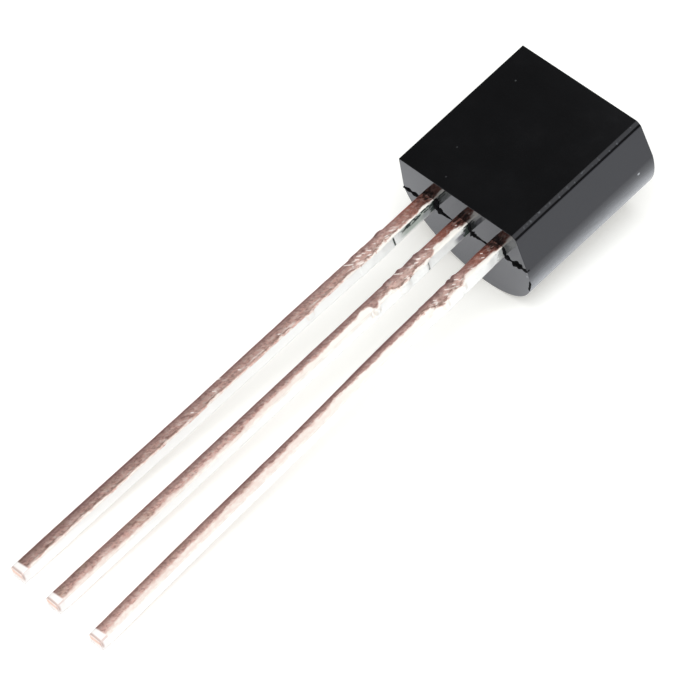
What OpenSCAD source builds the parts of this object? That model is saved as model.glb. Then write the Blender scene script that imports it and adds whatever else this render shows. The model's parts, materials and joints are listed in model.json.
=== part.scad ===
// Small three-lead voltage regulator: a moulded body with a flat face and a half-round back,
// three stamped leads in one row, and the chip, its bond layer and its wires inside.
// It lies as it comes to rest: flat face up, on the front edge of its round back and on its lead tips.
// Lengths are in millimetres and angles in degrees. +Z is up, and the leads point along -Y.

/* [Body] */
// Width of the body at the parting plane, which is also the diameter of the round back
body_width = 4.58; // [4.3:0.01:4.9]
// Length of the body at the parting plane
body_length = 4.57; // [4.3:0.01:5.2]
// Depth from the flat face to the parting plane
flat_depth = 1.28; // [1.1:0.01:1.5]
// Width of the bevel along the right side (+X) of the flat face
bevel_width = 0.135; // [0.05:0.005:0.2]
// Depth of that bevel
bevel_depth = 0.10; // [0.04:0.005:0.2]
// Draft of the right side wall, between the bevel and the parting plane
side_draft = 5.6; // [2:0.1:8]
// Draft of the left side wall, which runs up to a sharp edge of the flat face
left_draft = 8.4; // [4:0.1:12]
// Draft of both end walls on the flat side
flat_end_draft = 2.6; // [1:0.1:6]
// Draft of both end walls on the round side
round_end_draft = 1.6; // [1:0.1:6]
// How far the flash stands out of the end walls
end_flash = 0.06; // [0.02:0.01:0.12]
// How far the flash stands out of the side walls
side_flash = 0.02; // [0.01:0.01:0.08]
// Thickness of the flash
flash_thickness = 0.04; // [0.02:0.01:0.08]

/* [Leads] */
// Distance between neighbouring leads where they leave the body
lead_pitch = 1.27; // [1.2:0.01:1.4]
// Width of a lead
lead_width = 0.42; // [0.36:0.01:0.5]
// Thickness of a lead
lead_thickness = 0.40; // [0.34:0.01:0.5]
// Straight length of each lead outside the body, before its bend
lead_stub = 0.30; // [0.1:0.05:1]
// Length of the output lead from its bend to its tip
output_lead_length = 14.20; // [12:0.05:16]
// Length of the ground lead from its bend to its tip
ground_lead_length = 14.25; // [12:0.05:16]
// Length of the input lead from its bend to its tip
input_lead_length = 14.32; // [12:0.05:16]
// Sideways bend of the output lead
output_lead_splay = 0; // [-3:0.1:3]
// Sideways bend of the ground lead
ground_lead_splay = 0.5; // [-3:0.1:3]
// Sideways bend of the input lead
input_lead_splay = 2.1; // [-3:0.1:3]
// Radius of the rolled upper edge at each cut tip
tip_roll = 0.18; // [0.05:0.01:0.25]
// Distance from the front wall to the stubs where the tie bar between the leads was sheared off
tie_bar_offset = 1.50; // [1.1:0.05:2]
// Width of the sheared tie bar, along the leads
tie_bar_width = 1.15; // [0.8:0.05:1.5]
// How far its stubs stand out of each side of a lead
tie_bar_stub = 0.03; // [0.01:0.01:0.08]

/* [Lead frame inside the body] */
// Distance from the front wall to the bonding posts
post_inset = 0.55; // [0.4:0.05:0.7]
// Width of a bonding post
post_width = 0.80; // [0.6:0.05:1]
// Length of a bonding post
post_length = 0.80; // [0.6:0.05:1]
// Gap between the bonding posts and the paddle
frame_gap = 0.25; // [0.15:0.05:0.4]
// Width of the paddle that carries the chip
paddle_width = 2.40; // [1.8:0.05:2.8]
// Length of the paddle
paddle_length = 1.70; // [1.5:0.05:2]

/* [Chip and bond wires] */
// Length of the chip's square sides
die_side = 0.95; // [0.7:0.05:1.1]
// Thickness of the chip
die_thickness = 0.25; // [0.15:0.01:0.35]
// Thickness of the layer that bonds the chip to the paddle
attach_thickness = 0.025; // [0.015:0.005:0.05]
// How far that layer shows past the chip on each side
attach_margin = 0.04; // [0.02:0.01:0.08]
// Distance of the chip's contact pads from its edges
pad_inset = 0.14; // [0.1:0.01:0.2]
// Diameter of the bond wires
wire_diameter = 0.035; // [0.025:0.005:0.05]
// Radius of the bends in a bond wire
wire_bend = 0.10; // [0.06:0.01:0.12]
// Height of the wires' level run over the chip
wire_rise = 0.18; // [0.14:0.01:0.3]
// Diameter of the bonded end of a wire
bond_diameter = 0.09; // [0.07:0.005:0.12]
// Height of the bonded end of a wire
bond_height = 0.025; // [0.015:0.005:0.035]

/* [Hidden] */
$fn = 64;
// Room by which cutting shapes pass the faces that they cut
spare = 0.5;

// The package's own axes: the flat face is z = 0, and the front wall meets the parting plane at y = 0
back_radius = body_width / 2;
body_depth = flat_depth + back_radius;
bevel_half = back_radius - (flat_depth - bevel_depth) * tan(side_draft);
flat_right = bevel_half - bevel_width;
flat_left = back_radius - flat_depth * tan(left_draft);
round_end_inset = back_radius * tan(round_end_draft);

// The leads lie on the parting plane, in the flat side of the mould
lead_bottom = -flat_depth;
lead_top = lead_bottom + lead_thickness;
paddle_start = post_inset + post_length + frame_gap;
paddle_middle = paddle_start + paddle_length / 2;

// The chip hangs under the paddle, towards the round back
die_top = lead_bottom - attach_thickness;
die_face = die_top - die_thickness;
wire_level = die_face - wire_rise;
pad_line = paddle_middle - die_side / 2 + pad_inset;
pad_side = die_side / 2 - pad_inset;
post_middle = post_inset + post_length / 2;
paddle_bond = (paddle_start + paddle_middle - die_side / 2 - attach_margin) / 2;

// How far a lead's tip reaches in front of the body
function tip_reach(length, splay) = lead_stub + length * cos(splay) + lead_width / 2 * abs(sin(splay));
longest_reach = max(
    tip_reach(output_lead_length, output_lead_splay),
    tip_reach(ground_lead_length, ground_lead_splay),
    tip_reach(input_lead_length, input_lead_splay)
);

// The rest pose: the lead tips and the front edge of the round back touch one level
rest_tilt = atan(back_radius / (longest_reach + round_end_inset));
rest_lift = body_depth * cos(rest_tilt) - round_end_inset * sin(rest_tilt);
rest_front = -(longest_reach - tip_roll) * cos(rest_tilt) - (lead_top - tip_roll) * sin(rest_tilt) - tip_roll;
rest_back = (body_length - round_end_inset) * cos(rest_tilt) + body_depth * sin(rest_tilt);

module lying() {
    translate([0, -(rest_front + rest_back) / 2, rest_lift])
        rotate([rest_tilt, 0, 0])
            children();
}

// Cross-section of the body, seen along the leads
module body_section() {
    polygon([
        [-back_radius, -flat_depth],
        [-flat_left, 0],
        [flat_right, 0],
        [bevel_half, -bevel_depth],
        [back_radius, -flat_depth]
    ]);
    intersection() {
        translate([0, -flat_depth])
            circle(r = back_radius);
        translate([-body_width, -flat_depth - body_width])
            square([2 * body_width, body_width]);
    }
}

// Outline of the body from the side, with the draft of the end walls carried past the body's top and bottom
module end_profile() {
    top = spare;
    bottom = -body_depth - spare;
    top_inset = (flat_depth + top) * tan(flat_end_draft);
    bottom_inset = (back_radius + spare) * tan(round_end_draft);
    polygon([
        [0, -flat_depth],
        [top_inset, top],
        [body_length - top_inset, top],
        [body_length, -flat_depth],
        [body_length - bottom_inset, bottom],
        [bottom_inset, bottom]
    ]);
}

module parting_flash() {
    translate([-back_radius - side_flash, -end_flash, -flat_depth - flash_thickness / 2])
        cube([body_width + 2 * side_flash, body_length + 2 * end_flash, flash_thickness]);
}

module body_shape() {
    intersection() {
        translate([0, body_length + spare, 0])
            rotate([90, 0, 0])
                linear_extrude(body_length + 2 * spare)
                    body_section();
        translate([-body_width, 0, 0])
            rotate([90, 0, 90])
                linear_extrude(2 * body_width)
                    end_profile();
    }
    parting_flash();
}

// A lead's strip from inner_end to its bend and on to its tip, seen from above
module lead_strip(x, length, splay, inner_end) {
    half = lead_width / 2;
    bend = [x, -lead_stub];
    mitre = half * [1, tan(splay / 2)];
    tip = bend + length * [sin(splay), -cos(splay)];
    across = half * [cos(splay), sin(splay)];
    polygon([
        [x + half, inner_end],
        [x - half, inner_end],
        bend - mitre,
        tip - across,
        tip + across,
        bend + mitre
    ]);
}

// The stubs that the sheared tie bar left on both sides of a lead, seen from above
module tie_bar_stubs(x, splay) {
    wide = lead_width + 2 * tie_bar_stub;
    translate([x, -lead_stub])
        rotate([0, 0, splay])
            translate([-wide / 2, lead_stub - tie_bar_offset - tie_bar_width])
                square([wide, tie_bar_width]);
}

// What the shear takes off the upper edge of a lead's tip
module tip_cut(x, length, splay) {
    wide = lead_width + 2 * spare;
    translate([x, -lead_stub, 0])
        rotate([0, 0, splay])
            translate([-wide / 2, -length + tip_roll, lead_top - tip_roll])
                difference() {
                    translate([0, -tip_roll - spare, 0])
                        cube([wide, tip_roll + spare, tip_roll + spare]);
                    rotate([0, 90, 0])
                        cylinder(r = tip_roll, h = wide);
                }
}

// A stamped lead: its strip, its stubs, the widened inner end given as a child, and the rolled tip
module lead(x, length, splay, inner_end) {
    difference() {
        translate([0, 0, lead_bottom])
            linear_extrude(lead_thickness)
                union() {
                    lead_strip(x, length, splay, inner_end);
                    tie_bar_stubs(x, splay);
                    children();
                }
        tip_cut(x, length, splay);
    }
}

module bonding_post(x) {
    translate([x - post_width / 2, post_inset])
        square([post_width, post_length]);
}

module output_lead_shape() {
    lead(-lead_pitch, output_lead_length, output_lead_splay, post_middle)
        bonding_post(-lead_pitch);
}

module ground_lead_shape() {
    lead(0, ground_lead_length, ground_lead_splay, paddle_middle)
        translate([-paddle_width / 2, paddle_start])
            square([paddle_width, paddle_length]);
}

module input_lead_shape() {
    lead(lead_pitch, input_lead_length, input_lead_splay, post_middle)
        bonding_post(lead_pitch);
}

module chip_block(side, top, thickness) {
    translate([-side / 2, paddle_middle - side / 2, top - thickness])
        cube([side, side, thickness]);
}

module die_attach_shape() {
    chip_block(die_side + 2 * attach_margin, lead_bottom, attach_thickness);
}

module die_shape() {
    chip_block(die_side, die_top, die_thickness);
}

// A quarter bend that joins the level run to a leg, in the wire's own upright plane
module wire_corner(turn) {
    rotate([90, 0, 0])
        rotate([0, 0, turn])
            rotate_extrude(angle = 90)
                translate([wire_bend, 0])
                    circle(d = wire_diameter);
}

// A bond wire from a pad on the chip to a place on the lead frame
module bond_wire(pad, place) {
    run = norm(place - pad);
    heading = atan2(place.y - pad.y, place.x - pad.x);
    leg_start = wire_level + wire_bend;
    translate([pad.x, pad.y, 0])
        rotate([0, 0, heading]) {
            translate([0, 0, die_face - bond_height])
                cylinder(d = bond_diameter, h = bond_height);
            translate([0, 0, leg_start])
                cylinder(d = wire_diameter, h = die_face - leg_start);
            translate([wire_bend, 0, leg_start])
                wire_corner(180);
            translate([wire_bend, 0, wire_level])
                rotate([0, 90, 0])
                    cylinder(d = wire_diameter, h = run - 2 * wire_bend);
            translate([run - wire_bend, 0, leg_start])
                wire_corner(270);
            translate([run, 0, leg_start])
                cylinder(d = wire_diameter, h = lead_bottom - leg_start);
            translate([run, 0, lead_bottom - bond_height])
                cylinder(d = bond_diameter, h = bond_height);
        }
}

module output_wire_shape() {
    bond_wire([-pad_side, pad_line], [-lead_pitch, post_middle]);
}

module ground_wire_shape() {
    bond_wire([0, pad_line], [0, paddle_bond]);
}

module input_wire_shape() {
    bond_wire([pad_side, pad_line], [lead_pitch, post_middle]);
}

// The moulding takes its hollows from the very pieces that it is moulded round
module package_body() {
    color("#17171a")
        lying()
            difference() {
                body_shape();
                output_lead_shape();
                ground_lead_shape();
                input_lead_shape();
                die_attach_shape();
                die_shape();
                output_wire_shape();
                ground_wire_shape();
                input_wire_shape();
            }
}

module output_lead() {
    color("#a9766c")
        lying()
            output_lead_shape();
}

module ground_lead() {
    color("#a9766c")
        lying()
            ground_lead_shape();
}

module input_lead() {
    color("#a9766c")
        lying()
            input_lead_shape();
}

module die_attach() {
    color("#b9b9b4")
        lying()
            die_attach_shape();
}

module regulator_die() {
    color("#5d6470")
        lying()
            die_shape();
}

module output_wire() {
    color("#d9b44a")
        lying()
            output_wire_shape();
}

module ground_wire() {
    color("#d9b44a")
        lying()
            ground_wire_shape();
}

module input_wire() {
    color("#d9b44a")
        lying()
            input_wire_shape();
}

package_body();
output_lead();
ground_lead();
input_lead();
die_attach();
regulator_die();
output_wire();
ground_wire();
input_wire();
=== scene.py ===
import json
import math
from types import SimpleNamespace
import bpy
import bmesh
from mathutils import Matrix, Vector

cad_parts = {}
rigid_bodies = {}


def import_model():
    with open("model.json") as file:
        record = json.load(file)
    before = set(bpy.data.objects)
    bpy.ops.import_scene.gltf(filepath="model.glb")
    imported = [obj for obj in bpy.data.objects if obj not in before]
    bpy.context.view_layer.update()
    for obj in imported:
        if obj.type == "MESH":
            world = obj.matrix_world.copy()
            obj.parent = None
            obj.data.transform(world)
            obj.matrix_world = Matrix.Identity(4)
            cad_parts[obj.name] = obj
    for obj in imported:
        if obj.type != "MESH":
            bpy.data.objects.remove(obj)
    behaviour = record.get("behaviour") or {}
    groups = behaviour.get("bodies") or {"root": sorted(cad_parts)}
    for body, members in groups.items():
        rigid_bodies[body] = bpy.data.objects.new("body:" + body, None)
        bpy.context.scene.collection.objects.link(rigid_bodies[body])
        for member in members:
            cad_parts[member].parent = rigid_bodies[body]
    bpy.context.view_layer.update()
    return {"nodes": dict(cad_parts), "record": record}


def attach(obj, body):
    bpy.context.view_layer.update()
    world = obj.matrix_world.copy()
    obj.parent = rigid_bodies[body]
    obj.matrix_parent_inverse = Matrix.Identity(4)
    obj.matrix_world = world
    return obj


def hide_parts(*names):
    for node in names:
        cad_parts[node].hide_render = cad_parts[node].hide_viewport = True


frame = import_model()
print("frame loaded:", len(frame["nodes"]), "CAD nodes")

# The pieces are modelled in millimetres in the package's own axes: flat face z = 0, front wall y = 0,
# leads along -Y. layDown then puts them at rest, from the record's flat face.
flatMount = next(m for m in frame["record"]["mounts"] if m["name"] == "flat_face")
restTilt = math.atan2(-flatMount["axis"][1], flatMount["axis"][2])
restPlace = Vector(flatMount["pos_m"])
perMetre = 1000    # millimetres in a metre
samePlace = 1e-4   # points closer than this are at one place
onCut = 1e-5       # points closer than this to a cut lie on it
sameWay = 0.99     # cosine above which two directions count as one
black = (0, 0, 0, 1)
white = (1, 1, 1, 1)


def onlyThis(piece):
    bpy.ops.object.select_all(action="DESELECT")
    piece.select_set(True)
    bpy.context.view_layer.objects.active = piece


def newPiece(name):
    piece = bpy.context.object
    piece.name = piece.data.name = name
    onlyThis(piece)
    bpy.ops.object.transform_apply(location=True, rotation=True, scale=True)
    bpy.ops.object.mode_set(mode="EDIT")
    return piece


def choose(piece, kind, test):
    # kind is VERT, EDGE or FACE; test says which of them get selected
    bpy.ops.mesh.select_mode(type=kind)
    bpy.ops.mesh.select_all(action="DESELECT")
    mesh = bmesh.from_edit_mesh(piece.data)
    mesh.normal_update()
    parts = {"VERT": mesh.verts, "EDGE": mesh.edges, "FACE": mesh.faces}[kind]
    for part in [p for p in parts if test(p)]:
        part.select_set(True)
    mesh.select_flush_mode()
    bmesh.update_edit_mesh(piece.data)


def middle(edge):
    return (edge.verts[0].co + edge.verts[1].co) / 2


def along(edge):
    return (edge.verts[1].co - edge.verts[0].co).normalized()


def pull(shift, spread, falloff="SMOOTH"):
    # moves what is selected, and what lies within the spread of it less and less
    bpy.ops.transform.translate(
        value=shift, use_proportional_edit=True, proportional_edit_falloff=falloff,
        proportional_size=spread, use_proportional_connected=False,
    )


def push(shift):
    bpy.ops.mesh.extrude_region_move(TRANSFORM_OT_translate={"value": shift})


def cutOff(place, outwards):
    # cuts the whole shape along a plane, drops what is outside and closes the cut
    bpy.ops.mesh.select_all(action="SELECT")
    bpy.ops.mesh.bisect(
        plane_co=place, plane_no=outwards, use_fill=True, clear_outer=True, threshold=onCut,
    )


def layDown(piece):
    bpy.ops.object.mode_set(mode="OBJECT")
    onlyThis(piece)
    piece.matrix_world = (
        Matrix.Translation(restPlace)
        @ Matrix.Rotation(restTilt, 4, "X")
        @ Matrix.Scale(1 / perMetre, 4)
        @ Matrix.Translation((0, -body["length"] / 2, 0))
    )
    bpy.ops.object.transform_apply(location=True, rotation=True, scale=True)


def applyModifier(piece, kind, **settings):
    made = piece.modifiers.new(kind.lower(), kind)
    for name, value in settings.items():
        setattr(made, name, value)
    bpy.ops.object.modifier_apply(modifier=made.name)


def roughen(piece, name, grain, depth, strength, **settings):
    clouds = bpy.data.textures.new(name, "CLOUDS")
    clouds.noise_scale, clouds.noise_depth = grain, depth
    applyModifier(
        piece, "DISPLACE", texture=clouds, texture_coords="LOCAL", mid_level=0.5, strength=strength,
        **settings,
    )


# Moulded body
body = dict(
    width=4.58, length=4.57, flatDepth=1.28,   # flatDepth runs from the flat face to the parting line
    bevelWidth=0.10, bevelDepth=0.071,         # on the right side only
    sideDraft=5.6, leftDraft=8.4, flatFrontDraft=1.6, flatBackDraft=0.6, roundEndDraft=1.6,   # degrees
    # small facet where the bevel meets the side wall: its size, the share outside their corner, its heights
    shoulderWidth=0.035, shoulderDepth=0.055, shoulderOut=0.6, shoulderZone=(-0.2, -0.05),
    edgeRound=0.014, shoulderRound=0.02, roundedTurn=12,   # edges that turn by more degrees are rounded
    roundSides=180, spareLength=2,   # the end walls cut the spare length off
)


def makeBody():
    radius = body["width"] / 2
    halfLength = body["length"] / 2
    parting = -body["flatDepth"]
    bpy.ops.mesh.primitive_cylinder_add(
        vertices=body["roundSides"], radius=radius, depth=body["length"] + body["spareLength"],
        location=(0, halfLength, parting), rotation=(math.pi / 2, 0, 0),
    )
    piece = newPiece("moulded_body")
    cutOff((0, 0, parting), (0, 0, 1))
    # the flat half grows out of the cut in three steps: side wall, shoulder, bevel
    bevelHalf = radius - (body["flatDepth"] - body["bevelDepth"]) * math.tan(math.radians(body["sideDraft"]))
    shoulderOut = body["shoulderOut"]
    steps = [
        (parting, radius),
        (-body["bevelDepth"] - body["shoulderDepth"], bevelHalf + body["shoulderWidth"] * shoulderOut),
        (-body["bevelDepth"], bevelHalf - body["shoulderWidth"] * (1 - shoulderOut)),
        (0, bevelHalf - body["bevelWidth"]),
    ]
    choose(
        piece, "FACE",
        lambda f: f.normal.z > sameWay and abs(f.calc_center_median().z - parting) < samePlace,
    )
    for (low, lowHalf), (high, highHalf) in zip(steps, steps[1:]):
        push((0, 0, high - low))
        bpy.ops.transform.resize(value=(highHalf / lowHalf, 1, 1), center_override=(0, halfLength, high))
    # the left side has no bevel: its wall runs straight up to a sharp edge
    for high, highHalf in steps[1:]:
        wall = radius - (high - parting) * math.tan(math.radians(body["leftDraft"]))
        choose(piece, "VERT", lambda v: v.co.x < 0 and abs(v.co.z - high) < samePlace)
        bpy.ops.transform.translate(value=(highHalf - wall, 0, 0))
    # drafted end walls, cut with one plane above and one below the parting line
    ends = ((-1, 0, body["flatFrontDraft"]), (1, body["length"], body["flatBackDraft"]))
    for end, place, flatDraft in ends:
        for lean, draft in ((1, flatDraft), (-1, body["roundEndDraft"])):
            slope = math.radians(draft)
            cutOff((0, place, parting), (0, end * math.cos(slope), lean * math.sin(slope)))
    bpy.ops.mesh.select_all(action="SELECT")
    bpy.ops.mesh.remove_doubles(threshold=samePlace)
    bpy.ops.mesh.normals_make_consistent(inside=False)
    # real edges of the moulding are slightly rounded, the shoulder more than the rest
    shoulderLow, shoulderHigh = body["shoulderZone"]
    mesh = bmesh.from_edit_mesh(piece.data)
    weight = mesh.edges.layers.float.new("bevel_weight_edge")
    for edge in mesh.edges:
        onShoulder = abs(along(edge).y) > sameWay and shoulderLow < middle(edge).z < shoulderHigh
        if edge.calc_face_angle(0) > math.radians(body["roundedTurn"]):
            edge[weight] = 1.0 if onShoulder else body["edgeRound"] / body["shoulderRound"]
    bmesh.update_edit_mesh(piece.data)
    bpy.ops.object.mode_set(mode="OBJECT")
    applyModifier(piece, "BEVEL", width=body["shoulderRound"], segments=3, limit_method="WEIGHT")
    bpy.ops.object.shade_smooth()
    applyModifier(piece, "WEIGHTED_NORMAL", mode="FACE_AREA", weight=50, keep_sharp=False)
    layDown(piece)
    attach(piece, "root")
    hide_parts("package_body")
    return piece


# Ragged flash that the mould left along the parting line
flash = dict(
    front=0.022, back=0.02, side=0.004, thickness=0.035, edgeRound=0.008, roundedTurn=50,
    embed=0.10, step=0.025, stepAlong=0.1,      # depth in the body, and the grid's two steps
    leadGap=0.2, leadGapEnd=1.0,                # half width and far end of the gap for each lead
    wornSide=(2.2, 0.04), wornBack=(1.9, 1.0),  # no flash is left further out than x and further back than y
    raggedness=0.03, raggedScale=0.14, raggedEnd=0.02,
    # where more epoxy was squeezed out of the front: x, reach, spread
    blobs=[
        (-2.12, 0.02, 0.16), (-1.86, 0.02, 0.12), (-0.92, 0.05, 0.10), (-0.80, 0.015, 0.10),
        (0.28, 0.06, 0.045), (0.36, 0.035, 0.04), (0.46, 0.015, 0.04), (0.72, 0.005, 0.12),
        (1.60, 0.03, 0.07), (1.86, 0.06, 0.12), (2.02, 0.045, 0.10), (2.2, 0.02, 0.1),
    ],
    # lumps that cling to the roots of the leads, and to the front edge of the round back: x, z, half sizes
    lumps=[
        (-1.00, -1.08, (0.055, 0.07, 0.14)), (-0.94, -0.90, (0.055, 0.04, 0.13)),
        (-0.93, -1.22, (0.09, 0.05, 0.06)),
        (0.225, -1.09, (0.05, 0.04, 0.19)), (0.27, -1.24, (0.05, 0.04, 0.05)),
        (1.505, -1.08, (0.045, 0.035, 0.20)), (1.55, -1.24, (0.06, 0.05, 0.06)),
        (2.225, -1.83, (0.02, 0.025, 0.08)), (2.18, -1.98, (0.02, 0.025, 0.09)),
        (2.11, -2.14, (0.022, 0.025, 0.08)),
    ],
    lumpRoughness=0.035, lumpGrain=0.11, grainDepth=3,
)


def makeFlash():
    halfWidth = body["width"] / 2 + flash["side"]
    low, high = -flash["front"], body["length"] + flash["back"]
    centre = (0, (low + high) / 2, -body["flatDepth"])
    bpy.ops.mesh.primitive_grid_add(
        x_subdivisions=round(2 * halfWidth / flash["step"]),
        y_subdivisions=round((high - low) / flash["stepAlong"]), size=2, location=centre,
    )
    piece = newPiece("mould_flash")
    bpy.ops.mesh.select_all(action="SELECT")
    bpy.ops.transform.resize(value=(halfWidth, (high - low) / 2, 1), center_override=centre)
    # only a rim stays, and the leads' places in it stay open
    rimX, rimLow, rimHigh = halfWidth - flash["embed"], flash["embed"], body["length"] - flash["embed"]

    def inner(face):
        x, y, _ = face.calc_center_median()
        atLead = any(abs(x - lead["x"]) < flash["leadGap"] for lead in leads.values())
        worn = any(abs(x) > wornX and y > wornY for wornX, wornY in (flash["wornSide"], flash["wornBack"]))
        return (atLead and y < flash["leadGapEnd"]) or worn or (abs(x) < rimX and rimLow < y < rimHigh)

    choose(piece, "FACE", inner)
    bpy.ops.mesh.delete(type="FACE")
    oneColumn = flash["step"] * 0.7
    for x, reach, spread in flash["blobs"]:
        choose(piece, "VERT", lambda v: abs(v.co.x - x) < oneColumn and v.co.y < low + samePlace)
        pull((0, -reach, 0), spread)
    bpy.ops.object.mode_set(mode="OBJECT")
    rim = piece.vertex_groups.new(name="outerEdge")
    rim.add([v.index for v in piece.data.vertices if v.co.y < flash["raggedEnd"]], 1.0, "REPLACE")
    roughen(
        piece, "raggedEdge", flash["raggedScale"], flash["grainDepth"], flash["raggedness"],
        direction="Y", vertex_group="outerEdge",
    )
    applyModifier(piece, "SOLIDIFY", thickness=flash["thickness"], offset=0)
    applyModifier(
        piece, "BEVEL", width=flash["edgeRound"], segments=2, limit_method="ANGLE",
        angle_limit=math.radians(flash["roundedTurn"]),
    )
    bpy.ops.object.mode_set(mode="EDIT")
    for x, z, halfSizes in flash["lumps"]:
        bpy.ops.mesh.select_all(action="DESELECT")
        bpy.ops.mesh.primitive_uv_sphere_add(segments=32, ring_count=20, radius=1, location=(x, 0, z))
        bpy.ops.transform.resize(value=halfSizes, center_override=(x, 0, z))
    bpy.ops.object.mode_set(mode="OBJECT")
    roughen(piece, "lumpyEpoxy", flash["lumpGrain"], flash["grainDepth"], flash["lumpRoughness"])
    bpy.ops.object.shade_smooth()
    layDown(piece)
    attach(piece, "root")
    return piece


# Stamped leads: first the form that they share, then each one's own values
leadForm = dict(
    width=0.42, thickness=0.40, rounding=0.045, smoothTurn=50,
    embed=0.10, stub=0.30,   # how deep the strip starts in the body, and how far out it bends sideways
    innerTaper=0.02, cutsAcross=7, cutsAlong=(100, 4),
    tieBar=(1.50, 2.65), tieBarStub=0.015, tieBarFade=(0.3, 0.25), tieBarRoughness=0.04, tieBarGrain=0.28,
    ripple=0.010, rippleGrain=0.45, rippleStart=0.1, rippleFade=0.3, grainDepth=2,
    tipRoll=0.012, tipSpread=0.22,
    # how near to the edge of the upper face the points are that a slope, a bump or the tip moves
    slopeEdge=(0.03, 0.06), bumpEdge=(0.03, 0.06, 0.2), tipEdge=0.1,
)
# distances run from the front wall along the lead, and places across it from its middle to the right
leads = {
    "output_lead": dict(
        x=-1.27, length=14.14, splay=0.0,   # splay in degrees
        inner=(0.55, 0.80, 0.80),   # start, length and width of the widened inner end
        slope=(15.0, 0.0, 0.1),     # start, drop and spread of the right half, where it was rolled thinner
        bumps=[   # distance, side (-1 left, 1 right), reach, spread
            (2.0, 1, 0.02, 0.4), (1.6, -1, 0.015, 0.2), (4.42, 1, 0.05, 0.16), (14.2, -1, 0.055, 9.0),
            (5.5, -1, 0.022, 3.5),
        ],
        border=[   # distance, and how far across the brown skin goes before the pale strip shows: bare metal and a painted highlight
            (0, 0.17), (0.3, 0.15), (1.3, 0.15), (1.6, 0.13), (1.9, 0.16), (2.1, 0.22), (2.6, 0.22),
            (2.85, 0.15), (3.1, 0.18), (4.2, 0.18), (4.3, 0.24), (4.55, 0.24), (4.65, 0.18), (7.0, 0.16),
            (9.0, 0.15), (12.0, 0.11), (14.3, 0.10),
        ],
        fade=0.035,                   # how wide the pink between the two is
        shadow=(-0.01, 0.36, 0.05),   # where the darker left edge begins, its depth, how much the tip loses
        flecks=0.35, rim=0.7,         # bare metal where the tie bar was cut, and flaking along the border
        rosy=0.3,                     # pink left in the pale strip of bare metal and painted highlight
        scratches=[   # distance, across, half length
            (2.77, -0.07, 0.16), (2.28, -0.02, 0.06), (2.42, -0.06, 0.08), (2.52, -0.01, 0.07),
            (2.12, 0.03, 0.06), (7.28, -0.20, 0.07), (5.35, 0.06, 0.06), (6.75, 0.03, 0.05),
            (7.6, 0.0, 0.07), (8.4, 0.02, 0.05),
        ],
        stain=1.0, creep=1.0, film=0.7,   # epoxy on the sides: smear and black skin; and the grey painted reflection of the wall, low on the sides
        nick=(1.46, 1.0),                 # painted shade of the step on the sides: distance, depth
    ),
    "ground_lead": dict(
        x=0.0, length=14.20, splay=0.5, inner=(1.60, 1.70, 2.40), slope=(3.45, 0.03, 0.26),
        bumps=[
            (1.55, 1, 0.04, 0.20), (2.32, 1, 0.06, 0.26), (1.5, -1, 0.035, 0.12), (2.1, -1, 0.03, 0.10),
            (3.28, 1, 0.06, 0.12), (3.42, 1, -0.05, 0.09), (2.85, 1, -0.03, 0.25), (14.2, -1, 0.03, 5.0),
        ],
        border=[
            (0, 0.17), (0.15, 0.14), (0.35, 0.05), (1.05, 0.03), (1.2, 0.17), (1.6, 0.20), (1.75, 0.13),
            (2.0, 0.20), (2.5, 0.22), (2.6, 0.07), (3.1, 0.06), (3.2, 0.16), (3.28, 0.17), (3.42, -0.05),
            (3.6, -0.05), (3.8, 0.015), (6.5, 0.03), (8.0, 0.08), (10.5, 0.10), (12.3, 0.09), (12.6, 0.04),
            (12.9, 0.05), (14.3, 0.07),
        ],
        fade=0.05, shadow=(0.02, 0.46, 0.45), flecks=0.9, rim=0.0, rosy=0.62,
        scratches=[
            (1.20, -0.06, 0.07), (1.55, -0.02, 0.08), (1.68, 0.02, 0.06), (2.22, -0.14, 0.09),
            (0.22, 0.02, 0.04),
        ],
        stain=0.0, creep=1.0, film=1.0, nick=(1.47, 0.75),
    ),
    "input_lead": dict(
        x=1.27, length=14.25, splay=2.1, inner=(0.55, 0.80, 0.80), slope=(2.7, 0.04, 0.30),
        bumps=[
            (1.4, -1, 0.035, 0.10), (1.58, -1, 0.03, 0.09), (1.45, 1, 0.05, 0.14), (2.1, 1, 0.06, 0.14),
            (0.55, 1, 0.02, 0.25), (1.75, 1, 0.02, 0.2), (4.0, -1, 0.045, 3.5), (11.5, -1, 0.03, 6.0),
        ],
        border=[
            (0, 0.16), (0.15, 0.13), (0.4, 0.08), (1.2, 0.06), (1.4, 0.18), (1.5, 0.20), (1.7, 0.13),
            (2.05, 0.20), (2.25, 0.17), (2.45, 0.0), (2.7, -0.04), (5.0, -0.06), (7.0, -0.03),
            (10.0, -0.035), (12.0, -0.01), (13.4, 0.03), (14.3, 0.08),
        ],
        fade=0.055, shadow=(0.01, 0.42, 0.50), flecks=0.9, rim=0.0, rosy=0.45,
        scratches=[
            (0.45, -0.08, 0.04), (0.52, 0.04, 0.05), (0.92, 0.06, 0.05), (1.42, -0.05, 0.07),
            (1.56, 0.0, 0.06), (1.78, -0.04, 0.08), (2.2, -0.06, 0.06),
        ],
        stain=0.0, creep=0.5, film=0.0, nick=(1.47, 0.0),
    ),
}


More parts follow.
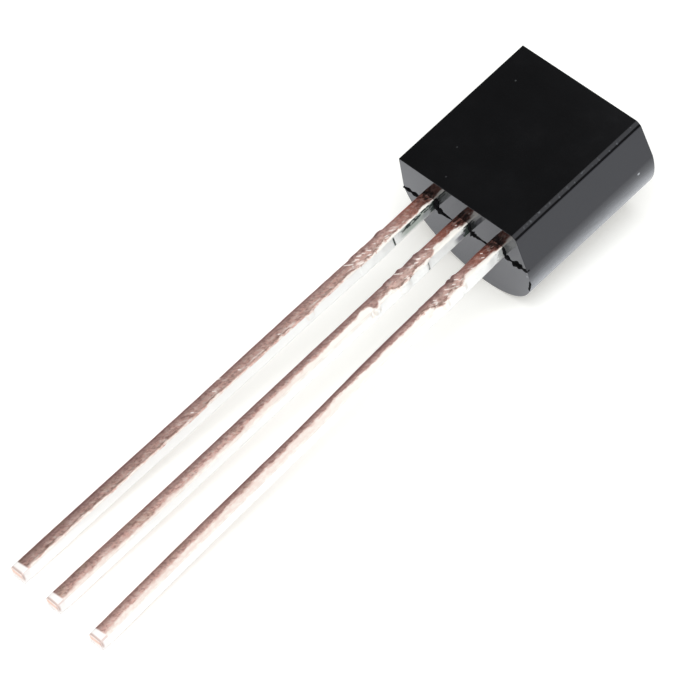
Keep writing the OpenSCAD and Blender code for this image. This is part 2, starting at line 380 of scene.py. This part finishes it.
def makeStrip(node, lead, tip, top, bottom):
    # straight strip with rounded edges, cut up finely, and its widened inner end
    form, root = leadForm, leadForm["embed"]
    bpy.ops.mesh.primitive_cube_add(
        size=1, location=(lead["x"], (tip + root) / 2, (top + bottom) / 2),
        scale=(form["width"], root - tip, form["thickness"]),
    )
    piece = newPiece(node + "_metal")
    choose(piece, "EDGE", lambda e: abs(along(e).y) > sameWay)
    bpy.ops.mesh.bevel(offset=form["rounding"], segments=3, affect="EDGES")
    choose(piece, "EDGE", lambda e: abs(along(e).y) < 1 - sameWay and e.calc_length() > form["width"] / 2)
    bpy.ops.mesh.subdivide(number_cuts=form["cutsAcross"])
    for cuts in form["cutsAlong"]:
        choose(piece, "EDGE", lambda e: abs(along(e).y) > sameWay)
        bpy.ops.mesh.subdivide(number_cuts=cuts)
    # inner end: shank, then bonding post or paddle
    start, length, width = lead["inner"]
    choose(piece, "FACE", lambda f: f.normal.y > sameWay)
    push((0, start - root - form["innerTaper"], 0))
    push((0, form["innerTaper"], 0))
    bpy.ops.transform.resize(value=(width / form["width"], 1, 1), center_override=(lead["x"], start, bottom))
    push((0, length, 0))
    return piece


def workStrip(piece, lead, tip, top, bottom):
    # what stamping, shearing and bending did to the strip
    form, half = leadForm, leadForm["width"] / 2
    # stubs of the sheared tie bar
    near, far = form["tieBar"]
    choose(piece, "VERT", lambda v: -far <= v.co.y <= -near)
    bpy.ops.transform.resize(
        value=(1 + form["tieBarStub"] / half, 1, 1), center_override=(lead["x"], -near, bottom)
    )
    slopeStart, drop, spread = lead["slope"]
    if drop:
        inwards, down = form["slopeEdge"]
        choose(
            piece, "VERT",
            lambda v: v.co.y < -slopeStart and v.co.x > lead["x"] + half - inwards and v.co.z > top - down,
        )
        pull((0, 0, -drop), spread)
    onward, inwards, down = form["bumpEdge"]
    for place, side, reach, spread in lead["bumps"]:

        def atBump(v):
            onSide = (v.co.x - lead["x"]) * side > half - inwards
            return abs(v.co.y + place) < onward and onSide and v.co.z > top - down

        choose(piece, "VERT", atBump)
        pull((side * reach, 0, 0), spread)
    # rolled tip
    choose(piece, "VERT", lambda v: v.co.y < tip + samePlace and v.co.z > top - form["tipEdge"])
    pull((0, 0, -form["tipRoll"]), form["tipSpread"], "SHARP")
    # sideways bend just outside the body
    if lead["splay"]:
        choose(piece, "VERT", lambda v: v.co.y < -form["stub"])
        bpy.ops.transform.rotate(
            value=-math.radians(lead["splay"]), orient_axis="Z",
            center_override=(lead["x"], -form["stub"], bottom),
        )


def share(value, start, length):
    # 0 before start, 1 after start + length, and straight between
    return min(max((value - start) / length, 0), 1)


def makeLead(node, lead):
    form, bottom = leadForm, -body["flatDepth"]
    top, tip = bottom + form["thickness"], -form["stub"] - lead["length"]
    piece = makeStrip(node, lead, tip, top, bottom)
    workStrip(piece, lead, tip, top, bottom)
    bpy.ops.object.mode_set(mode="OBJECT")
    # hammered at the tie bar, and slightly rippled all along
    hammered = piece.vertex_groups.new(name="hammered")
    rippled = piece.vertex_groups.new(name="rippled")
    near, far = form["tieBar"]
    fadeIn, fadeOut = form["tieBarFade"]
    for v in piece.data.vertices:
        reach = -v.co.y
        inZone = min(share(reach, near - fadeIn, fadeIn), share(-reach, -far - fadeOut, fadeOut))
        hammered.add([v.index], inZone, "REPLACE")
        rippled.add([v.index], share(reach, form["rippleStart"], form["rippleFade"]), "REPLACE")
    for name, group, grain, strength in (
        ("hammeredTexture", "hammered", form["tieBarGrain"], form["tieBarRoughness"]),
        ("rippleTexture", "rippled", form["rippleGrain"], form["ripple"]),
    ):
        roughen(piece, node + name, grain, form["grainDepth"], strength, vertex_group=group)
    bpy.ops.object.shade_smooth_by_angle(angle=math.radians(form["smoothTurn"]))
    layDown(piece)
    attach(piece, "root")
    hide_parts(node)
    return piece


# Shader maths: a Signal wraps a socket, and sums of Signals add Math nodes
class Signal:
    def __init__(self, tree, socket=None):
        self.tree, self.socket = tree, socket

    def node(self, kind, settings={}, inputs={}, output=0):
        made = self.tree.nodes.new(kind)
        for name, value in settings.items():
            if name == "stops":   # of a colour ramp
                ramp = made.color_ramp.elements
                ramp.remove(ramp[1])
                ramp[0].position, ramp[0].color = value[0]
                for place, colour in value[1:]:
                    ramp.new(place).color = colour
            else:
                setattr(made, name, value)
        for name, value in inputs.items():
            target = next((s for s in made.inputs if s.identifier == name), None) or made.inputs[name]
            if isinstance(value, Signal):
                self.tree.links.new(value.socket, target)
            else:
                target.default_value = value
        return Signal(self.tree, made.outputs[output])

    def maths(self, operation, *values):
        names = ("Value", "Value_001", "Value_002")
        return self.node("ShaderNodeMath", {"operation": operation}, dict(zip(names, values)))

    def __add__(self, other):
        return self.maths("ADD", self, other)

    def __radd__(self, other):
        return self.maths("ADD", other, self)

    def __sub__(self, other):
        return self.maths("SUBTRACT", self, other)

    def __rsub__(self, other):
        return self.maths("SUBTRACT", other, self)

    def __mul__(self, other):
        return self.maths("MULTIPLY", self, other)

    def __rmul__(self, other):
        return self.maths("MULTIPLY", other, self)

    def __truediv__(self, other):
        return self.maths("DIVIDE", self, other)

    def __abs__(self):
        return self.maths("ABSOLUTE", self)

    def most(self, other):
        return self.maths("MAXIMUM", self, other)

    def rise(self, low, high):
        # 0 below low, 1 above high, smooth between; falls where low is above high
        settings = {"interpolation_type": "SMOOTHSTEP", "clamp": True}
        inputs = {"Value": self, "From Min": low, "From Max": high, "To Min": 0.0, "To Max": 1.0}
        return self.node("ShaderNodeMapRange", settings, inputs)

    def noise(self, scale, detail=2.0, roughness=0.5, stretch=(1, 1, 1), shift=(0, 0, 0)):
        place = self.node("ShaderNodeMapping", {}, {"Vector": self, "Scale": stretch, "Location": shift})
        inputs = {"Vector": place, "Scale": scale, "Detail": detail, "Roughness": roughness}
        return self.node("ShaderNodeTexNoise", {}, inputs)

    def spun(self, degrees):
        inputs = {"Vector": self, "Rotation": (0, 0, math.radians(degrees))}
        return self.node("ShaderNodeMapping", {}, inputs)

    def blend(self, start, end):
        settings = {"data_type": "RGBA", "clamp_factor": True}
        inputs = {"Factor_Float": self, "A_Color": start, "B_Color": end}
        return self.node("ShaderNodeMix", settings, inputs, output=2)

    def parts(self):
        split = self.node("ShaderNodeSeparateXYZ", {}, {"Vector": self}).socket.node
        return [Signal(self.tree, socket) for socket in split.outputs]


def newMaterial(name, **constants):
    material = bpy.data.materials.new(name)
    material.use_nodes = True
    shader = material.node_tree.nodes["Principled BSDF"]
    for socket, value in constants.items():
        shader.inputs[socket.replace("_", " ")].default_value = value
    return material, shader, Signal(material.node_tree)


def feed(material, shader, **signals):
    for socket, signal in signals.items():
        material.node_tree.links.new(signal.socket, shader.inputs[socket.replace("_", " ")])


def millimetres(start):
    place = start.node("ShaderNodeTexCoord", output="Object")
    return start.node("ShaderNodeMapping", {}, {"Vector": place, "Scale": (perMetre, perMetre, perMetre)})


def bump(start, height, distance):
    # distance is the real height of the relief, in metres
    return start.node("ShaderNodeBump", {}, {"Height": height, "Distance": distance, "Strength": 1.0})


# Black epoxy: colours, roughnesses, how much haze shows (least, and more in blotches; on the round back
# partly a painted reflection of the floor), patterns per mm
epoxy = dict(
    deep=(0.0052, 0.0052, 0.0055, 1), light=(0.0092, 0.0092, 0.0099, 1), dust=(0.40, 0.41, 0.43, 1),
    haze=(0.19, 0.20, 0.22, 1), sheen=(0.90, 0.91, 1.0, 1),
    roughness=0.055, cloudRoughness=0.03, backRoughness=0.12, dustRoughness=0.4,
    backHaze=(0.52, 0.34), bevelHaze=(0.05, 0.30),
    cloudScale=0.9, fineScale=9.0, blotchScale=3.2, peelScale=2.2, peel=0.35e-6,
    tornScale=14.0, tornRoughness=0.7, tornRelief=12e-6,
    # grains of dust: place in millimetres, size, how much shows
    specks=[
        ((-1.42, 8.217, 4.075), 0.034, 0.12), ((-1.12, 5.826, 3.702), 0.030, 0.08),
        ((-0.67, 4.996, 3.573), 0.030, 0.08),
        ((2.283, 8.818, 2.688), 0.055, 1.0), ((2.19, 4.86, 1.966), 0.06, 0.9),
    ],
)


def epoxyMaterial():
    material, shader, start = newMaterial("blackEpoxy", IOR=1.51, Specular_Tint=epoxy["sheen"])
    place = millimetres(start)
    cloud = place.noise(epoxy["cloudScale"], 4.0, 0.6)
    fine = place.noise(epoxy["fineScale"], 3.0)

    def speck(spot, size, shows):
        inputs = {"Vector": place, "Vector_001": spot}
        away = start.node("ShaderNodeVectorMath", {"operation": "DISTANCE"}, inputs, output=1)
        return away.rise(size, size * 0.4) * shows

    dust = sum(speck(*grain) for grain in epoxy["specks"])
    # the downward-facing round back came duller out of the mould, in blotches; its lighter haze there is
    # partly a painted reflection of the floor
    turned, facing, upward = start.node("ShaderNodeTexCoord", output="Normal").parts()
    dull = upward.rise(-0.02, -0.40) * facing.rise(-0.8, -0.5)
    blotches = place.noise(epoxy["blotchScale"], 4.0, 0.6, (1, 0.5, 1)).rise(0.30, 0.68)
    least, more = epoxy["backHaze"]
    colour = cloud.blend(epoxy["deep"], epoxy["light"])
    colour = (dull * (least + more * blotches)).blend(colour, epoxy["haze"])
    # the bevelled edge is rubbed
    rubbed = turned.rise(0.40, 0.52) * upward.rise(0.62, 0.72)
    least, more = epoxy["bevelHaze"]
    colour = (rubbed * (least + fine.rise(0.56, 0.70) * more)).blend(colour, epoxy["haze"])
    colour = dust.blend(colour, epoxy["dust"])
    roughness = epoxy["roughness"] + cloud.rise(0.45, 0.75) * epoxy["cloudRoughness"]
    roughness = roughness + dull * epoxy["backRoughness"] + dust * epoxy["dustRoughness"]
    peel = place.noise(epoxy["peelScale"], 3.0, 0.55) + fine * 0.12
    feed(material, shader, Base_Color=colour, Roughness=roughness, Normal=bump(start, peel, epoxy["peel"]))
    return material


def tornMaterial():
    # broken and squeezed-out epoxy is dull
    material, shader, start = newMaterial("tornEpoxy", IOR=1.15)
    grain = millimetres(start).noise(epoxy["tornScale"], 4.0, 0.6)
    feed(
        material, shader, Base_Color=grain.rise(0.35, 0.7).blend(epoxy["deep"], epoxy["light"]),
        Roughness=epoxy["tornRoughness"] + grain * 0.2, Normal=bump(start, grain, epoxy["tornRelief"]),
    )
    return material


# Copper of the leads: colours, then metal and roughness, then places along a lead in mm
copper = dict(
    rose=(0.92, 0.59, 0.52, 1), shade=(0.22, 0.115, 0.13, 1), dark=(0.34, 0.17, 0.16, 1),
    red=(0.60, 0.21, 0.15, 1), olive=(0.56, 0.44, 0.32, 1), rim=(0.33, 0.22, 0.17, 1),
    pink=(0.86, 0.64, 0.57, 1), pale=(0.93, 0.83, 0.77, 1), cream=(0.97, 0.92, 0.86, 1),
    glint=(0.98, 0.90, 0.85, 1), ridge=(0.62, 0.52, 0.47, 1), tin=(0.99, 0.985, 0.96, 1),
    cut=(0.98, 0.94, 0.92, 1), peach=(0.94, 0.67, 0.55, 1), burr=(0.55, 0.36, 0.31, 1),
    residue=(0.025, 0.018, 0.016, 1), stain=(0.02, 0.03, 0.025, 1), smear=(0.55, 0.59, 0.54, 1),
    film=(0.28, 0.275, 0.30, 1),
    metallic=0.88, paleMetallic=0.12, tinMetallic=0.65, capMetallic=0.7,
    roughness=0.36, paleRoughness=0.5, streakRoughness=0.12, tipRoughness=0.2, relief=3.5e-6,
    hammerStart=(0.9, 1.5), hammerEnd=(3.1, 2.5), redEnd=(1.5, 0.5), residueEnd=(0.36, 0.12),
    smearStart=(0.05, 0.2), smearEnd=(1.35, 1.0), filmEnd=(0.60, 0.35), creepEnd=(0.26, 0.12),
    shadeLoss=(8.0, 12.5), creamLoss=(4.0, 8.5), rosyStart=(4.2, 7.2), ridgeStart=(1.2, 2.0),
    tinStart=(0.0, 1.2),
    borderLength=15, borderShift=0.5,   # a ramp runs from 0 to 1 and holds nothing below 0
    # distances back from the tip: pale rolled end and its slant, dark lip, cut face
    rolledFrom=(0.27, 0.21), rolledSlant=0.10, lipFrom=(0.10, 0.03), lipEnd=(0.004, 0.02),
    capFrom=(0.2, 0.05),
)
# patterns of the leads: how fine per mm, detail, roughness, stretch along the lead, turn in degrees
leadPatterns = dict(
    patches=(1.8, 3.0, 0.6, 0.5, 0), streaks=(9.0, 3.0, 0.6, 0.25, 0), grain=(13.0, 3.0, 0.6, 0.55, 0),
    mottle=(7.0, 4.0, 0.65, 0.8, 0), speckle=(17.0, 2.0, 0.6, 0.5, 35), glitter=(12.0, 2.0, 0.5, 0.4, 35),
    flaking=(10.0, 2.0, 0.5, 0.2, 0), smudges=(11.0, 2.0, 0.5, 0.6, 0), dents=(7.0, 2.0, 0.5, 1.0, 0),
)
patternShift = (3.7, 1.3)   # from one lead to the next, so that no two look the same


def leadPlaces(start, lead, seed):
    # place is in the lead's own millimetres: x across, y from the bend to the body, z up from its underside
    toLead = (
        Matrix.Rotation(-math.radians(lead["splay"]), 4, "Z")
        @ Matrix.Translation((-lead["x"], leadForm["stub"], body["flatDepth"]))
        @ Matrix.Translation((0, body["length"] / 2, 0))
        @ Matrix.Rotation(-restTilt, 4, "X")
        @ Matrix.Translation(-restPlace * perMetre)
    )
    inputs = {
        "Vector": start.node("ShaderNodeTexCoord", output="Object"), "Location": toLead.translation,
        "Rotation": toLead.to_euler(), "Scale": (perMetre, perMetre, perMetre),
    }
    place = start.node("ShaderNodeMapping", {}, inputs)
    across, ahead, height = place.parts()
    reach = leadForm["stub"] - ahead
    turned, facing, _ = start.node("ShaderNodeTexCoord", output="Normal").parts()
    at = SimpleNamespace(
        across=across, reach=reach, height=height, facing=facing, side=abs(turned).rise(0.90, 0.96),
        fromTip=leadForm["stub"] + lead["length"] - reach,
        hammer=reach.rise(*copper["hammerStart"]) * reach.rise(*copper["hammerEnd"]),
    )
    shift = (seed * patternShift[0], seed * patternShift[1], 0)
    for name, (scale, detail, roughness, stretch, turn) in leadPatterns.items():
        source = place.spun(turn) if turn else place
        setattr(at, name, source.noise(scale, detail, roughness, (1, stretch, 1), shift))
    return at


def markBorder(start, at, lead):
    # where the brown skin gives way to the pale strip, first pink and then cream: partly bare metal, partly
    # a painted highlight
    length, shift = copper["borderLength"], copper["borderShift"]
    profile = [(s / length, (u + shift, u + shift, u + shift, 1)) for s, u in lead["border"]]
    ramp = start.node("ShaderNodeValToRGB", {"stops": profile}, {"Fac": at.reach / length})
    border = ramp.parts()[0] - shift
    wander = (at.patches - 0.5) * 0.14 + (at.streaks - 0.5) * 0.18
    wander = wander + (at.grain - 0.5) * (0.08 + 0.16 * at.hammer)
    bare = at.across - border + wander + at.height.rise(0.34, 0.26) * 0.5
    at.pinkish = bare.rise(-0.3 * lead["fade"], 0.2 * lead["fade"])
    at.palish = bare.rise(0.0, lead["fade"])
    at.creamy = at.palish * (1 - at.reach.rise(*copper["creamLoss"]) * at.grain.rise(0.62, 0.42) * 0.85)
    at.rosy = at.reach.rise(*copper["rosyStart"]) * at.across.rise(0.20, 0.12) * lead["rosy"]
    worked = at.hammer.most(at.streaks.rise(0.38, 0.55) * lead["rim"])
    at.rim = bare.rise(-0.07, -0.04) * bare.rise(0.005, -0.02) * worked
    # the right edge of the strip, seen against the pale strip
    onEdge = at.across.rise(0.13, 0.175) * at.across.rise(0.225, 0.19)
    at.ridge = onEdge * at.palish * at.streaks.rise(0.36, 0.60) * at.reach.rise(*copper["ridgeStart"])


def markBright(at, lead):
    # bare metal that shows through the brown skin; the sparkle is painted glints
    at.sparkle = at.glitter.rise(0.54, 0.66) * (0.30 + 0.6 * at.hammer) * at.across.rise(-0.18, 0.05)
    at.flecks = at.hammer * lead["flecks"] * at.across.rise(-0.14, 0.06) * at.grain.rise(0.38, 0.58)
    at.flakes = at.flaking.rise(0.57, 0.64) * at.across.rise(0.02, 0.10) * lead["rim"]

    def scratch(distance, acrossPlace, halfLength):
        # all run the same way, at 45 degrees
        on, beside = at.reach - distance, at.across - acrossPlace
        ends = abs(on - beside).rise(halfLength * 1.4, halfLength * 0.9)
        return abs(on + beside).rise(0.034, 0.012) * ends

    at.scratched = scratch(*lead["scratches"][0])
    for marks in lead["scratches"][1:]:
        at.scratched = at.scratched.most(scratch(*marks))


def markEnds(at):
    # near-black at the very root of the lead, next to the wall
    at.root = (at.reach - (at.grain - 0.5) * 0.6 + at.across * 0.5).rise(*copper["residueEnd"])
    at.root = at.root * at.across.rise(0.20, 0.15)
    # pale rolled tip with its cut face, and the dark burr round that
    slant = at.across * copper["rolledSlant"]
    begin, full = copper["rolledFrom"]
    at.rolled = at.fromTip.rise(begin + slant, full + slant)
    at.cap = at.facing.rise(-0.6, -0.85) * at.fromTip.rise(*copper["capFrom"])
    lip = at.fromTip.rise(*copper["lipFrom"]) * at.fromTip.rise(*copper["lipEnd"])
    at.burr = lip.most(at.rolled * at.across.rise(0.12, 0.16) * (1 - at.side) * 0.7)


def markSides(at, lead):
    # black epoxy smeared on the side faces next to the body
    nearBody = at.reach.rise(*copper["smearStart"]) * at.reach.rise(*copper["smearEnd"])
    nearBody = nearBody * at.side * lead["stain"]
    at.smear = nearBody * at.height.rise(0.04, 0.12)
    dashes = at.smudges.rise(0.47, 0.52) * nearBody * at.height.rise(0.20, 0.26)
    # painted shade: a dark line across the sides at the step left by the cut tie bar
    nickPlace, nickDepth = lead["nick"]
    nick = abs(at.reach - nickPlace).rise(0.035, 0.015) * at.side * nickDepth
    nick = nick * at.height.rise(0.02, 0.06) * at.height.rise(0.40, 0.30)
    # at the wall a grey painted reflection of the wall low down, and a ragged black skin over it
    at.film = at.side * at.reach.rise(*copper["filmEnd"]) * at.height.rise(0.27, 0.20) * lead["film"]
    creep = at.side * (at.reach - (at.grain - 0.5) * 0.6).rise(*copper["creepEnd"]) * lead["creep"]
    at.spots = dashes.most(creep).most(nick)


def leadColour(at, lead):
    # from the bottom up: brown skin with painted shade on its left, bare metal and painted glints in it, the
    # pale strip beside it (bare metal and painted highlight), then the ends and the sides
    shadeStart, shadeDepth, shadeLoss = lead["shadow"]
    shaded = (at.across + (at.grain - 0.5) * 0.2).rise(shadeStart, shadeStart - 0.09) * shadeDepth
    shaded = shaded + at.across.rise(-0.12, -0.20) * 0.35
    shaded = shaded * (1 - at.reach.rise(*copper["shadeLoss"]) * shadeLoss)
    lit = at.across.rise(-0.2, 0.0)
    colour = shaded.blend(copper["rose"], copper["shade"])
    for mask, coat in (
        (at.reach.rise(*copper["redEnd"]) * (0.75 + at.patches.rise(0.4, 0.6) * 0.25), "red"),
        (at.patches.rise(0.42, 0.32) * 0.35, "olive"),
        (at.streaks.rise(0.52, 0.72) * 0.4, "dark"),
        (at.mottle.rise(0.46, 0.34) * 0.35, "dark"),
        (at.mottle.rise(0.52, 0.68) * 0.6 * lit, "pink"),
        (at.speckle.rise(0.49, 0.36) * 0.45, "dark"),
        (at.speckle.rise(0.53, 0.68) * 0.40 * lit, "glint"),
        (at.flecks * 0.7, "pink"),
        (at.sparkle, "glint"),
        (at.scratched * 0.85, "glint"),
        (at.flakes * 0.8, "cream"),
        (at.rim * 0.6, "rim"),
        (at.pinkish, "pink"),
        (at.palish * (1 - at.rosy), "pale"),
        (at.creamy * (1 - at.rosy), "cream"),
        (at.ridge * 0.35, "ridge"),
        (at.side, "tin"),
        (at.root * (0.50 + at.speckle.rise(0.58, 0.44) * 0.45), "residue"),
        (at.rolled, "cut"),
        # peach and the burr only higher up: lower on the cut face the pale tip colour stays as a painted
        # highlight
        (at.cap * at.height.rise(0.10, 0.28) * 0.9, "peach"),
        (at.burr * at.height.rise(0.06, 0.22) * 0.8, "burr"),
        (at.smear, "smear"),
        (at.film, "film"),
        # the stain colour here is black epoxy, and also the painted shade of the step
        (at.spots, "stain"),
    ):
        colour = mask.blend(colour, copper[coat])
    return colour


def leadMaterial(node, lead, seed):
    material, shader, start = newMaterial(node.split("_")[0] + "LeadCopper", IOR=1.5)
    at = leadPlaces(start, lead, seed)
    markBorder(start, at, lead)
    markBright(at, lead)
    markEnds(at)
    markSides(at, lead)
    bright = (at.sparkle + at.flecks * 0.5 + at.scratched + at.flakes) * 0.8
    pale = bright.most(at.pinkish * 0.5 + at.palish * (1 - at.rosy * 0.5) * 0.5)
    metallic = copper["metallic"] - pale * (copper["metallic"] - copper["paleMetallic"])
    metallic = metallic + at.side * (copper["tinMetallic"] * at.reach.rise(*copper["tinStart"]) - metallic)
    metallic = metallic * (1 - at.rolled * 0.85) * (1 - at.spots) * (1 - at.root * 0.3)
    metallic = metallic + at.cap * (copper["capMetallic"] - metallic)
    roughness = copper["roughness"] + pale * (copper["paleRoughness"] - copper["roughness"])
    roughness = roughness + at.streaks * copper["streakRoughness"] + at.rolled * copper["tipRoughness"]
    relief = at.grain * 0.9 + at.streaks * 0.5 + at.hammer * at.dents * 3.0
    feed(
        material, shader, Base_Color=leadColour(at, lead), Metallic=metallic, Roughness=roughness,
        Normal=bump(start, relief, copper["relief"]),
    )
    return material


# The inner pieces are the CAD's own, with a finish: two colours, grain per mm, roughness, metal
goldWire = dict(
    low=(0.78, 0.52, 0.17, 1), high=(0.92, 0.70, 0.30, 1), scale=25.0, roughness=0.22, metallic=1.0,
)
innerFinish = {
    "regulator_die": dict(
        low=(0.07, 0.08, 0.11, 1), high=(0.16, 0.17, 0.21, 1), scale=6.0, roughness=0.18, metallic=0.3,
    ),
    "die_attach": dict(
        low=(0.42, 0.42, 0.40, 1), high=(0.68, 0.68, 0.65, 1), scale=40.0, roughness=0.55, metallic=0.2,
    ),
    "output_wire": goldWire,
    "ground_wire": goldWire,
    "input_wire": goldWire,
}


def innerMaterial(node, finish):
    material, shader, start = newMaterial(node + "Finish", Metallic=finish["metallic"])
    grain = millimetres(start).noise(finish["scale"], 3.0)
    feed(
        material, shader, Base_Color=grain.rise(0.3, 0.7).blend(finish["low"], finish["high"]),
        Roughness=finish["roughness"] + grain * 0.15,
    )
    return material


def dress(piece, material):
    piece.data.materials.clear()
    piece.data.materials.append(material)


bodyPiece = makeBody()
flashPiece = makeFlash()
dress(bodyPiece, epoxyMaterial())
dress(flashPiece, tornMaterial())
print("body:", len(bodyPiece.data.polygons), "faces, flash:", len(flashPiece.data.polygons))
for seed, (node, lead) in enumerate(leads.items()):
    leadPiece = makeLead(node, lead)
    dress(leadPiece, leadMaterial(node, lead, seed))
    print(leadPiece.name + ":", len(leadPiece.data.polygons), "faces")
for node, finish in innerFinish.items():
    dress(frame["nodes"][node], innerMaterial(node, finish))
print("inner pieces dressed:", len(innerFinish))

# Stage: pale floor, soft dome with two dark sides, and one soft lamp
stage = dict(
    floorSize=3.0, floorColour=(0.82, 0.82, 0.82, 1), floorRoughness=0.9,
    floorLift=(0.345, 0.335, 0.305, 1),   # added to the lit floor for the camera
    floorShine=(0.31, 0.315, 0.34, 1),    # and for reflections
    dome=0.95, domeFill=0.30,             # strength in reflections, and as light on dull surfaces
    domeTint=(1.0, 0.99, 0.97, 1),
    # in reflections only: where a dark side is, how many degrees of it are full, where it ends
    darkSides=[((-0.66, -0.33, 0.67), 33, 36.5), ((0.90, 0.24, 0.33), 15, 25)],
    lampFrom=(0.12, -0.06, 0.24), lampSize=0.20, lampPower=0.83, lampTint=(0.96, 0.99, 1.0),
)


def rayKinds(start):
    # what the camera sees itself, and what it sees in metal and glass
    outputs = ("Is Camera Ray", "Is Glossy Ray", "Is Transmission Ray")
    seen, mirror, glass = [start.node("ShaderNodeLightPath", output=name) for name in outputs]
    return seen, mirror + glass


def makeFloor():
    bpy.ops.object.select_all(action="DESELECT")
    bpy.ops.mesh.primitive_plane_add(size=stage["floorSize"])
    floor = bpy.context.object
    floor.name = "pale_floor"
    material, shader, start = newMaterial(
        "paleFloor", Base_Color=stage["floorColour"], Roughness=stage["floorRoughness"],
        Specular_IOR_Level=0.0, Emission_Strength=1.0,
    )
    seen, mirrored = rayKinds(start)
    glow = seen.blend(mirrored.blend(black, stage["floorShine"]), stage["floorLift"])
    feed(material, shader, Emission_Color=glow)
    material.cycles.emission_sampling = "NONE"
    dress(floor, material)


def makeDome():
    world = bpy.data.worlds.new("softDome")
    world.use_nodes = True
    world.cycles.sampling_method = "NONE"
    bpy.context.scene.world = world
    start = Signal(world.node_tree)
    direction = start.node("ShaderNodeTexCoord", output="Generated")

    def darkness(towards, full, end):
        inputs = {"Vector": direction, "Vector_001": Vector(towards).normalized()}
        facing = start.node("ShaderNodeVectorMath", {"operation": "DOT_PRODUCT"}, inputs, output=1)
        return facing.rise(math.cos(math.radians(end)), math.cos(math.radians(full)))

    left, right = [darkness(*darkSide) for darkSide in stage["darkSides"]]
    seen, mirrored = rayKinds(start)
    level = stage["domeFill"] + mirrored * (stage["dome"] - stage["domeFill"])
    light = (1 - left.most(right) * mirrored) * level
    sky = seen.blend(light.blend(black, stage["domeTint"]), white)
    world.node_tree.links.new(sky.socket, world.node_tree.nodes["Background"].inputs["Color"])


def makeLamp():
    bpy.ops.object.light_add(type="AREA", location=stage["lampFrom"])
    lamp = bpy.context.object
    lamp.name = "soft_lamp"
    lamp.data.size, lamp.data.energy = stage["lampSize"], stage["lampPower"]
    lamp.data.color = stage["lampTint"]
    lamp.rotation_euler = Vector(stage["lampFrom"]).to_track_quat("Z", "Y").to_euler()
    lamp.visible_glossy = False
    lamp.visible_camera = False


# The photograph's view: 46.5 degrees above the floor, from the right of the lead tips
camera = dict(
    place=(0.084148, -0.059299, 0.110041), turn=(43.0800, 6.6799, 47.4279), lens=306.9, sensor=36,
    clip=(0.005, 20),
)


def makeCamera():
    bpy.ops.object.camera_add(location=camera["place"], rotation=[math.radians(a) for a in camera["turn"]])
    view = bpy.context.object
    view.name = "photo_camera"
    view.data.lens, view.data.sensor_width = camera["lens"], camera["sensor"]
    view.data.clip_start, view.data.clip_end = camera["clip"]
    bpy.context.scene.camera = view
    bpy.context.scene.view_settings.view_transform = "Standard"


makeFloor()
makeDome()
makeLamp()
makeCamera()
print("stage and camera set")
